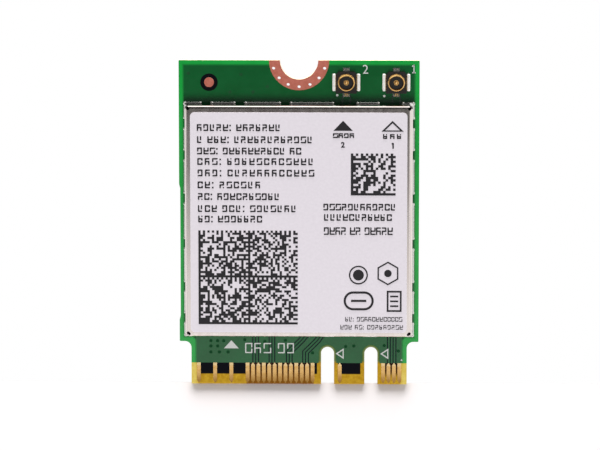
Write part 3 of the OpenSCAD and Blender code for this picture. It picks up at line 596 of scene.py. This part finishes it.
def make_glyph(name, index, height, stroke_share, spread):
    """One blank glyph with round corners, its lower left corner at the origin."""
    pattern = GLYPHS[index]
    stroke = stroke_share * height
    width = WIDTH_SHARES[index] * spread * height
    piece = grid(name, len(pattern[0]), len(pattern))
    keep_faces(piece, lambda centre: pattern[-1 - int(centre.y)][int(centre.x)] == "#")
    columns = (0.0, stroke, width - stroke, width)
    middle = (height - stroke) / 2
    rows = (0.0, stroke, middle, middle + stroke, height - stroke, height)
    for vertex in piece.data.vertices:
        vertex.co.x = columns[round(vertex.co.x)]
        vertex.co.y = rows[round(vertex.co.y)]
    bpy.ops.object.mode_set(mode="EDIT")
    bpy.ops.mesh.select_all(action="SELECT")
    bpy.ops.mesh.dissolve_limited(angle_limit=0.01)
    bpy.ops.object.mode_set(mode="OBJECT")
    thicken(piece, INK)
    round_edges(piece, lambda a, b: abs(a.z - b.z) > INK / 2, ROUND_SHARE * stroke, 2)
    return piece


# In a row's layout an o is a blank glyph, a colon is two dots, and a blank is a space. The values are
# shares of the pitch
ADVANCES = {"o": 1.0, ":": 0.5, " ": 0.55}
LAST_GAP = 0.3
# A dot's side as a share of the stroke
DOT_SHARE = 1.15


def make_row(glyphs, dot, layout, left, right, bottom, z, draw):
    """A row of blank words between a left and a right end; dot is the copied half of a colon."""
    pitch = (right - left) / (sum(ADVANCES[sign] for sign in layout) - LAST_GAP)
    pieces = []
    x = left
    for sign in layout:
        if sign == "o":
            pieces.append(copy_to(draw.choice(glyphs), x, bottom, z))
        elif sign == ":":
            for y in (bottom, bottom + 3 * dot.dimensions.y):
                pieces.append(copy_to(dot, x, y, z))
        x += pitch * ADVANCES[sign]
    return pieces


def make_rows(rows, height, stroke_share, spread, z, draw):
    """Several rows of one letter height."""
    glyphs = [make_glyph(f"glyph_{i}", i, height, stroke_share, spread) for i in range(len(GLYPHS))]
    side = DOT_SHARE * stroke_share * height
    dot = make_bar("dot", side, side, side / 2, side / 2, 0.0)
    pieces = []
    for layout, left, right, bottom in rows:
        pieces += make_row(glyphs, dot, layout, left * MM, right * MM, bottom * MM, z, draw)
    discard(glyphs + [dot])
    return pieces


# Label lettering: rows of (layout, left end, right end, lower edge), in millimetres
LEFT_ROWS = (
    ("ooooo: ooooooo", -9.28, -1.7, 8.66),
    ("o ooo: oooooooooooo", -9.26, 1.22, 7.56),
    ("ooo: oooooooooo oo", -9.26, 0.17, 6.52),
    ("ooo: oooooooooooo", -9.24, 1.36, 5.55),
    ("ooo: oooooooooooo", -9.22, 1.4, 4.5),
    ("oo: oooooo", -9.22, -3.5, 3.4),
    ("oo: oooooooooo", -9.2, -1.8, 2.33),
    ("ooo ooo: ooooooo", -9.2, -0.24, 1.22),
    ("oo: ooooooo", -9.18, -3.4, 0.26),
)
RIGHT_ROWS = (
    ("oooooooooooo", 2.26, 8.8, 1.4),
    ("ooooooooooo", 2.32, 8.44, 0.45),
)
LOWER_RIGHT_ROW = (("oooo oo ooooo", 2.3, 8.48, -0.85),)
SMALL_ROWS = (
    ("oo: oooooooooooo", 4.27, 9.44, -8.86),
    ("ooo oo: ooooooooo", 3.83, 9.53, -9.6),
)
POINTER_WORDS = (("oooo", 3.12, 4.98, 8.05), ("ooo", 7.68, 9.38, 7.98))
# Rows with their letter height in millimetres, their stroke as a share of it and how wide they run
TEXT_SIZES = (
    (LEFT_ROWS, 0.63, 0.2, 1.1),
    (RIGHT_ROWS, 0.62, 0.2, 1.1),
    (LOWER_RIGHT_ROW, 0.7, 0.17, 1.0),
    (SMALL_ROWS, 0.42, 0.15, 1.0),
    (POINTER_WORDS, 0.44, 0.26, 1.5),
)


def make_label_lettering():
    """All the label's rows of blank words."""
    draw = random.Random(SEED)
    pieces = []
    for rows, height, stroke_share, spread in TEXT_SIZES:
        pieces += make_rows(rows, height * MM, stroke_share, spread, LABEL_TOP, draw)
    return join("label_lettering", pieces)


# Square codes: solid lower and left sides, dashed upper and right ones, and chance cells between. Each
# has its left and lower edges, its width and height, and its cells and blocks each way
CODES = {
    "label_code_large": (-9.17 * MM, -9.16 * MM, 9.09 * MM, 8.68 * MM, 44, 2),
    "label_code_small": (4.76 * MM, 2.79 * MM, 4.08 * MM, 3.85 * MM, 18, 1),
}


def make_code(name, left, bottom, width, height, cells, blocks, seed):
    """A code of cells by cells that holds no data, split into blocks each way."""
    draw = random.Random(seed)
    block = cells // blocks
    filled = {}
    for column in range(cells):
        for row in range(cells):
            i, j = column % block, row % block
            if i == 0 or j == 0:
                filled[column, row] = True
            elif i == block - 1:
                filled[column, row] = j % 2 == 0
            elif j == block - 1:
                filled[column, row] = i % 2 == 0
            else:
                filled[column, row] = draw.random() < 0.5
    piece = grid(name, cells, cells)
    keep_faces(piece, lambda centre: filled[int(centre.x), int(centre.y)])
    for vertex in piece.data.vertices:
        vertex.co.x *= width / cells
        vertex.co.y *= height / cells
    thicken(piece, INK)
    piece.location = (left, bottom, LABEL_TOP)
    settle(piece)
    return piece


# Plain marks and their outlines

def make_disc(name, sides, radius, x, y, z, turn=0.0, stretch=1.0, hole=0.0):
    """A flat polygon or disc, or its outline when a hole of that radius is cut."""
    deselect()
    bpy.ops.mesh.primitive_circle_add(vertices=sides, radius=radius, fill_type="NGON")
    piece = take(name)
    if hole:
        bpy.ops.object.mode_set(mode="EDIT")
        bpy.ops.mesh.select_all(action="SELECT")
        bpy.ops.mesh.inset(thickness=(radius - hole) * math.cos(math.pi / sides))
        bpy.ops.mesh.delete(type="FACE")
        bpy.ops.object.mode_set(mode="OBJECT")
    thicken(piece, INK)
    piece.rotation_euler.z = turn
    settle(piece)
    piece.scale.y = stretch
    piece.location = (x, y, z)
    settle(piece)
    return piece


def make_frame(name, width, height, x, y, line, rounding=0.0):
    """A rectangle's outline, with round corners if a rounding is given."""
    deselect()
    bpy.ops.mesh.primitive_plane_add(size=1.0)
    piece = take(name)
    piece.scale = (width, height, 1)
    settle(piece)
    bpy.ops.object.mode_set(mode="EDIT")
    bpy.ops.mesh.select_all(action="SELECT")
    if rounding:
        bpy.ops.mesh.bevel(offset=rounding, segments=8, affect="VERTICES")
        bpy.ops.mesh.select_all(action="SELECT")
    bpy.ops.mesh.inset(thickness=line)
    bpy.ops.mesh.delete(type="FACE")
    bpy.ops.object.mode_set(mode="OBJECT")
    thicken(piece, INK)
    piece.location = (x, y, LABEL_TOP)
    settle(piece)
    return piece


def make_bar(name, width, height, x, y, z):
    """A filled rectangle about its centre."""
    deselect()
    bpy.ops.mesh.primitive_plane_add(size=1.0)
    piece = take(name)
    piece.scale = (width, height, 1)
    settle(piece)
    thicken(piece, INK)
    piece.location = (x, y, z)
    settle(piece)
    return piece


def make_two(name, height, thickness, x, y, z):
    """A plain digit two of that height, centred there; thickness swells or thins its strokes."""
    deselect()
    bpy.ops.object.text_add()
    letter = bpy.context.active_object
    letter.data.body = "2"
    letter.data.extrude = 0.5
    letter.data.offset = thickness
    bpy.ops.object.convert(target="MESH")
    piece = take(name)
    corners = [vertex.co for vertex in piece.data.vertices]
    low = Vector(min(c[i] for c in corners) for i in range(3))
    high = Vector(max(c[i] for c in corners) for i in range(3))
    scale = height / (high.y - low.y)
    for vertex in piece.data.vertices:
        vertex.co.x = (vertex.co.x - (low.x + high.x) / 2) * scale
        vertex.co.y = (vertex.co.y - (low.y + high.y) / 2) * scale
        vertex.co.z = INK if vertex.co.z > 0 else 0.0
    piece.location = (x, y, z)
    settle(piece)
    return piece


FLAG_LEAN = math.radians(38)


def make_one(name, height, stroke, foot, x, y, z):
    """A plain digit one: a stem with a flag that leans, and a foot if a width is given for it."""
    stem = make_bar(name, stroke, height, x, y, z)
    flag = make_bar(name + "_flag", 0.3 * height, stroke, 0.0, 0.0, 0.0)
    flag.rotation_euler.z = FLAG_LEAN
    flag.location = (x - 0.1 * height, y + 0.37 * height, z)
    settle(flag)
    pieces = [stem, flag]
    if foot:
        pieces.append(make_bar(name + "_foot", foot, stroke, x, y - (height - stroke) / 2, z))
    return join(name, pieces)


# Where the marks' middles are on the label
SOLID_POINTER = (4.05 * MM, 9.02 * MM)
OPEN_POINTER = (8.55 * MM, 8.98 * MM)
LABEL_TWO = (4.03 * MM, 7.43 * MM)
LABEL_ONE = (8.6 * MM, 7.35 * MM)
DISC_MARK = (5.47 * MM, -4.56 * MM)
HEXAGON_MARK = (8.17 * MM, -4.4 * MM)
PILL_MARK = (5.5 * MM, -6.95 * MM)
FRAME_MARK = (8.75 * MM, -6.98 * MM)
# Their sizes; a pointer is a triangle in a circle of this radius, pressed flat by its stretch
SOLID_POINTER_R, SOLID_POINTER_STRETCH = 1.02 * MM, 0.6
OPEN_POINTER_R, OPEN_POINTER_STRETCH, OPEN_POINTER_LINE = 1.166 * MM, 0.56, 0.375 * MM
LABEL_DIGIT_H = 0.52 * MM
RING_R, RING_HOLE_R, RING_CORE_R = 0.87 * MM, 0.74 * MM, 0.5 * MM
HEXAGON_R, HEXAGON_HOLE_R, HEXAGON_CORE_R = 1.1 * MM, 0.95 * MM, 0.34 * MM
PILL_SIZE, PILL_LINE, PILL_CORNER_R = (2.75 * MM, 1.75 * MM), 0.2 * MM, 0.86 * MM
PILL_BAR = (1.4 * MM, 0.2 * MM)
FRAME_SIZE, FRAME_LINE = (1.36 * MM, 1.95 * MM), 0.16 * MM
FRAME_BAR, FRAME_BAR_STEP = (0.75 * MM, 0.15 * MM), 0.45 * MM


def make_label_marks():
    """Pointers to the jacks with their digits, and four plain marks that stand for nothing."""
    z = LABEL_TOP
    pieces = [
        make_disc("solid_pointer", 3, SOLID_POINTER_R, *SOLID_POINTER, z,
                  stretch=SOLID_POINTER_STRETCH),
        make_disc("open_pointer", 3, OPEN_POINTER_R, *OPEN_POINTER, z,
                  stretch=OPEN_POINTER_STRETCH, hole=OPEN_POINTER_R - OPEN_POINTER_LINE),
        make_two("label_digit_2", LABEL_DIGIT_H, 0.035, *LABEL_TWO, z),
        make_one("label_digit_1", LABEL_DIGIT_H, 0.13 * MM, 0.0, *LABEL_ONE, z),
        make_disc("disc_mark_ring", 48, RING_R, *DISC_MARK, z, hole=RING_HOLE_R),
        make_disc("disc_mark_core", 32, RING_CORE_R, *DISC_MARK, z),
        make_disc("hexagon_mark", 6, HEXAGON_R, *HEXAGON_MARK, z, hole=HEXAGON_HOLE_R),
        make_disc("hexagon_core", 32, HEXAGON_CORE_R, *HEXAGON_MARK, z),
        make_frame("pill_mark", *PILL_SIZE, *PILL_MARK, PILL_LINE, PILL_CORNER_R),
        make_bar("pill_bar", *PILL_BAR, *PILL_MARK, z),
        make_frame("frame_mark", *FRAME_SIZE, *FRAME_MARK, FRAME_LINE),
    ]
    x, y = FRAME_MARK
    for step in (-1, 0, 1):
        pieces.append(make_bar(f"frame_bar_{step + 1}", *FRAME_BAR, x, y + step * FRAME_BAR_STEP, z))
    return join("label_marks", pieces)


dress(make_label_lettering(), black_ink)
for number, (name, layout) in enumerate(CODES.items()):
    dress(make_code(name, *layout, SEED + number), black_ink)
marks = dress(make_label_marks(), black_ink)
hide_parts("label_print")


# White legend on the board: digits beside the jacks, key marks, an end mark and a row of blank glyphs

BOARD_ROW = (("ooo oo", -4.97, -0.5, -12.1),)
# Its letter height, its stroke as a share of that and how wide it runs
BOARD_ROW_SIZE = (0.95 * MM, 0.11, 1.0)
BOARD_TWO = (6.06 * MM, 14.2 * MM)
BOARD_ONE = (10.48 * MM, 14.24 * MM)
END_MARK = (9.46 * MM, -12.7 * MM)
KEY_MARKS = {"key_mark_left": (3.87 * MM, -12.12 * MM), "key_mark_right": (7.98 * MM, -12.12 * MM)}
KEY_MARK_R, KEY_MARK_HOLE_R, KEY_MARK_STRETCH = 0.5 * MM, 0.3 * MM, 1.15
QUARTER_TURN = math.pi / 2


def make_board_legend():
    """The whole legend as one piece."""
    z = BOARD_TOP
    pieces = make_rows(BOARD_ROW, *BOARD_ROW_SIZE, z, random.Random(SEED + 2))
    pieces += [
        make_two("board_digit_2", 0.8 * MM, -0.005, *BOARD_TWO, z),
        make_one("board_digit_1", 0.79 * MM, 0.09 * MM, 0.32 * MM, *BOARD_ONE, z),
        make_disc("end_mark", 3, 0.12 * MM, *END_MARK, z),
    ]
    for name, middle in KEY_MARKS.items():
        pieces.append(make_disc(name, 3, KEY_MARK_R, *middle, z, QUARTER_TURN, KEY_MARK_STRETCH,
                                KEY_MARK_HOLE_R))
    return join("board_legend", pieces)


dress(make_board_legend(), white_ink)


# Solder: a raised line along each pad of the shield with a lump at either end, and the jacks' joints

# The gaps between the shield's feet, and the wider ones where the antenna lines come out
FOOT_GAP = 0.8 * MM
EXIT_GAP = 2 * MM
GAP_SHIFT = -0.12 * MM
SIDE_GAPS = [side * step * MM for side in (-1, 1) for step in (2.1, 6.1, 9)]
FRONT_GAPS = [side * step * MM for side in (-1, 1) for step in (1.25, 5.4, 8.5)]
REAR_GAPS = [-8.5 * MM, -5.4 * MM, -1.25 * MM]
REAR_EXITS = [JACKS[0].x - 0.5 * MM, JACKS[1].x - 0.1 * MM]
LINE_W = 0.06 * MM
LINE_H = 0.03 * MM
LUMP_SIZE = (0.13 * MM, 0.075 * MM, 0.05 * MM)


def make_bead(name, width, length, height, x, y):
    """A low bead of solder on the board, with its upper edges well rounded."""
    bead = make_block(name, width, length, height)
    round_edges(bead, lambda a, b: max(a.z, b.z) > height / 2, ROUND_SHARE * min(width, height), 3)
    bead.location = (x, y, BOARD_TOP)
    settle(bead)
    return bead


def make_block(name, width, length, height):
    """A block that stands on the ground plane, about the middle of its foot."""
    deselect()
    bpy.ops.mesh.primitive_cube_add(size=1.0)
    block = take(name)
    block.scale = (width, length, height)
    block.location.z = height / 2
    settle(block)
    return block


def make_lump(name, reach_x, reach_y, height, x, y):
    """The upper half of a flattened ball, on the board."""
    deselect()
    bpy.ops.mesh.primitive_uv_sphere_add(segments=16, ring_count=8, radius=1.0)
    lump = take(name)
    bpy.ops.object.mode_set(mode="EDIT")
    bpy.ops.mesh.select_all(action="SELECT")
    bpy.ops.mesh.bisect(plane_co=(0, 0, 0), plane_no=(0, 0, 1), clear_inner=True, use_fill=True)
    bpy.ops.object.mode_set(mode="OBJECT")
    bpy.ops.object.shade_smooth_by_angle(angle=math.radians(60))
    lump.scale = (reach_x, reach_y, height)
    lump.location = (x, y, BOARD_TOP)
    settle(lump)
    return lump


def stretches(low, high, gaps):
    """The stretches of a side that its gaps leave; a gap is its middle and its width."""
    edges = [low]
    for middle, width in sorted(gaps):
        edges += [middle - width / 2, middle + width / 2]
    edges.append(high)
    return list(zip(edges[::2], edges[1::2]))


def make_shield_joints():
    """The lines and lumps on all four sides, cut where the pads are."""
    middle_y = (CAN_LOW.y + CAN_HIGH.y) / 2
    side_gaps = [(middle_y + GAP_SHIFT + gap, FOOT_GAP) for gap in SIDE_GAPS]
    front_gaps = [(gap, FOOT_GAP) for gap in FRONT_GAPS]
    rear_gaps = [(gap, FOOT_GAP) for gap in REAR_GAPS] + [(gap, EXIT_GAP) for gap in REAR_EXITS]
    reach_x, reach_y, height = LUMP_SIZE
    pieces = []
    for y, gaps in ((PAD_LOW.y + LINE_W / 2, front_gaps), (PAD_HIGH.y - LINE_W / 2, rear_gaps)):
        for low, high in stretches(PAD_LOW.x, PAD_HIGH.x, gaps):
            pieces.append(make_bead("line", high - low, LINE_W, LINE_H, (low + high) / 2, y))
            for x in (low + reach_x, high - reach_x):
                pieces.append(make_lump("lump", reach_x, reach_y, height, x, y))
    for x in (PAD_LOW.x + LINE_W / 2, PAD_HIGH.x - LINE_W / 2):
        for low, high in stretches(PAD_LOW.y, PAD_HIGH.y, side_gaps):
            pieces.append(make_bead("line", LINE_W, high - low, LINE_H, x, (low + high) / 2))
            for y in (low + reach_x, high - reach_x):
                pieces.append(make_lump("lump", reach_y, reach_x, height, x, y))
    return join("shield_joints", pieces)


LEG_JOINT = (0.32 * MM, 1.6 * MM, 0.25 * MM)
LEG_JOINT_X = 1.115 * MM
# Each lump's shift to the side and its reach, then how far all of them reach along and up
REAR_LUMPS = ((-0.14 * MM, 0.11 * MM), (0.12 * MM, 0.16 * MM))
REAR_LUMP_SIZE = (0.11 * MM, 0.1 * MM)
TAIL_LUMPS = ((-0.17 * MM, 0.1 * MM), (0.02 * MM, 0.12 * MM), (0.19 * MM, 0.1 * MM))
TAIL_LUMP_SIZE = (0.17 * MM, 0.11 * MM)
END_JOINT_Y = 1.17 * MM


def make_jack_joints():
    """Fat joints along both legs of each jack, and small ones: two lumps behind it and three over
    its tail."""
    legs, ends = [], []
    for jack in JACKS:
        for side in (-1, 1):
            legs.append(make_bead("leg_joint", *LEG_JOINT, jack.x + side * LEG_JOINT_X, jack.y))
        for shift, reach in REAR_LUMPS:
            ends.append(make_lump("rear_lump", reach, *REAR_LUMP_SIZE, jack.x + shift,
                                  jack.y + END_JOINT_Y))
        for shift, reach in TAIL_LUMPS:
            ends.append(make_lump("tail_lump", reach, *TAIL_LUMP_SIZE, jack.x + shift,
                                  jack.y - END_JOINT_Y))
    return join("jack_leg_joints", legs), join("jack_end_joints", ends)


dress(make_shield_joints(), solder)
leg_joints, end_joints = make_jack_joints()
dress(leg_joints, glazed_solder)
dress(end_joints, browned_solder)


# Floor, light and camera

FLOOR_SIZE = 1.2
FLOOR_Z = -0.01 * MM
SHADOW_EDGE = 0.02 * MM


def kinds_of_ray(tree):
    """1 for rays from the camera, and 1 for rays that gloss or a clear thing sends on."""
    rays = add(tree, "LightPath").outputs
    mirrored = add(tree, "Math", {0: rays["Is Glossy Ray"], 1: rays["Is Transmission Ray"]},
                   operation="MAXIMUM")
    return rays["Is Camera Ray"], mirrored


def make_floor():
    """A plain pale floor that keeps the card's shadow before the contacts. In the notches and round the
    other edges it glows plain white to the camera and to metal, painted light that hides the card's
    shadow there, and it is clear from below."""
    deselect()
    bpy.ops.mesh.primitive_plane_add(size=FLOOR_SIZE, location=(0.0, 0.0, FLOOR_Z))
    floor = take("floor")
    material, tree, place = new_material("plain_white_floor")
    y = add(tree, "SeparateXYZ", {"Vector": place}).outputs["Y"]
    from_camera, mirrored = kinds_of_ray(tree)
    seen = add(tree, "Math", {0: from_camera, 1: mirrored}, operation="MAXIMUM")
    beside_card = region(tree, (y, -HALF_L - SHADOW_EDGE, -HALF_L + SHADOW_EDGE))
    white_share = add(tree, "Math", {0: beside_card, 1: seen}, operation="MULTIPLY")
    front = add(tree, "MixShader", {
        0: white_share, 1: add(tree, "BsdfDiffuse", {"Color": "#fbf5f5"}),
        2: add(tree, "Emission", {"Strength": 1.0})})
    below = add(tree, "NewGeometry").outputs["Backfacing"]
    both = add(tree, "MixShader", {0: below, 1: front, 2: add(tree, "BsdfTransparent")})
    add(tree, "OutputMaterial", {"Surface": both})
    paint(floor, material)
    return floor


# Strengths of the even light for the surfaces, and of what gloss mirrors
WORLD_LEVEL = 0.6
ROOM_LEVEL = 1.2
DIM_LEVEL = 0.06
REAR_LEVEL = 2.4
SIDE_LEVEL = 0.9
# The dim ceiling's limits as directions: each pair runs from bright to dim
DIM_FRONT = (-0.155, -0.118)
DIM_REAR = (0.9, 0.86)
DIM_LEFT = (-0.99, -0.95)
DIM_RIGHT = (0.12, 0.03)
# A softbox behind, and a grey panel on either side that the shield's fillets mirror
REAR_BOX = (0.86, 0.9)
PANEL_INNER = (0.62, 0.66)
PANEL_OUTER = (0.84, 0.8)


def make_world():
    """White to the camera, even light for the surfaces, and for gloss a bright room with a dim
    ceiling over the card, a softbox behind it and a grey panel on either side."""
    world = bpy.data.worlds.new("studio")
    bpy.context.scene.world = world
    world.use_nodes = True
    tree = world.node_tree
    tree.nodes.clear()
    direction = add(tree, "TexCoord").outputs["Generated"]
    axes = add(tree, "SeparateXYZ", {"Vector": direction}).outputs
    x, y = axes["X"], axes["Y"]
    side = add(tree, "Math", {0: x}, operation="ABSOLUTE")
    from_camera, mirrored = kinds_of_ray(tree)
    room = ROOM_LEVEL
    for share, level in (
            (region(tree, (y, *DIM_FRONT), (y, *DIM_REAR), (x, *DIM_LEFT), (x, *DIM_RIGHT)), DIM_LEVEL),
            (region(tree, (y, *REAR_BOX)), REAR_LEVEL),
            (region(tree, (side, *PANEL_INNER), (side, *PANEL_OUTER)), SIDE_LEVEL)):
        room = add(tree, "Mix", {"Factor": share, "A": room, "B": level})
    level = add(tree, "Mix", {"Factor": mirrored, "A": WORLD_LEVEL, "B": room})
    level = add(tree, "Mix", {"Factor": from_camera, "A": level, "B": 1.0})
    add(tree, "OutputWorld", {"Surface": add(tree, "Background", {"Strength": level})})


LAMP_DISTANCE = 0.4
# Each lamp's side, which is -1 before the card and 1 behind it, its height in degrees, its width,
# length and power, and whether it leaves out the floor or shines on the floor only
LAMPS = {
    "soft_key_lamp": (-1, 60, 0.25, 0.25, 0.85, "EXCLUDE"),
    "rear_rim_lamp": (1, 4, 0.3, 0.05, 2.4, "EXCLUDE"),
    "shadow_lamp": (1, 29, 0.3, 0.24, 2.7, "INCLUDE"),
}


def make_lamp(name, floor, side, elevation, width, length, power, link_state):
    """A soft lamp that points at the card, unseen by the camera and by gloss."""
    data = bpy.data.lights.new(name, "AREA")
    data.shape = "RECTANGLE"
    data.size = width
    data.size_y = length
    data.energy = power
    lamp = bpy.data.objects.new(name, data)
    bpy.context.scene.collection.objects.link(lamp)
    elevation = math.radians(elevation)
    away = Vector((0.0, side * math.cos(elevation), math.sin(elevation)))
    lamp.location = away * LAMP_DISTANCE
    lamp.rotation_euler = (-away).to_track_quat("-Z", "Y").to_euler()
    lamp.visible_camera = False
    lamp.visible_glossy = False
    receivers = bpy.data.collections.new(name + "_receivers")
    receivers.objects.link(floor)
    receivers.collection_objects[0].light_linking.link_state = link_state
    lamp.light_linking.receiver_collection = receivers


CAMERA_TARGET = Vector((0.09 * MM, -0.157 * MM, BOARD_TOP))
CAMERA_DISTANCE = 0.33
CAMERA_LEAN_Y = math.radians(8.0)
CAMERA_LEAN_X = math.radians(1.4)
VIEW_WIDTH = 55.05 * MM
SENSOR = 36.0
NEAREST = 0.01


def make_camera():
    """A long lens over the card, leaning a little towards the screw notch and to the right."""
    data = bpy.data.cameras.new("camera")
    data.sensor_width = SENSOR
    data.lens = SENSOR * CAMERA_DISTANCE / VIEW_WIDTH
    data.clip_start = NEAREST
    camera = bpy.data.objects.new("camera", data)
    bpy.context.scene.collection.objects.link(camera)
    back = Vector((math.tan(CAMERA_LEAN_X), math.tan(CAMERA_LEAN_Y), 1.0)).normalized()
    up = (Vector((0, 1, 0)) - back * back.y).normalized()
    right = up.cross(back)
    turn = Matrix((right, up, back)).transposed().to_4x4()
    camera.matrix_world = Matrix.Translation(CAMERA_TARGET + back * CAMERA_DISTANCE) @ turn
    bpy.context.scene.camera = camera


white_floor = make_floor()
make_world()
for name, settings in LAMPS.items():
    make_lamp(name, white_floor, *settings)
make_camera()
bpy.context.scene.view_settings.view_transform = "Standard"
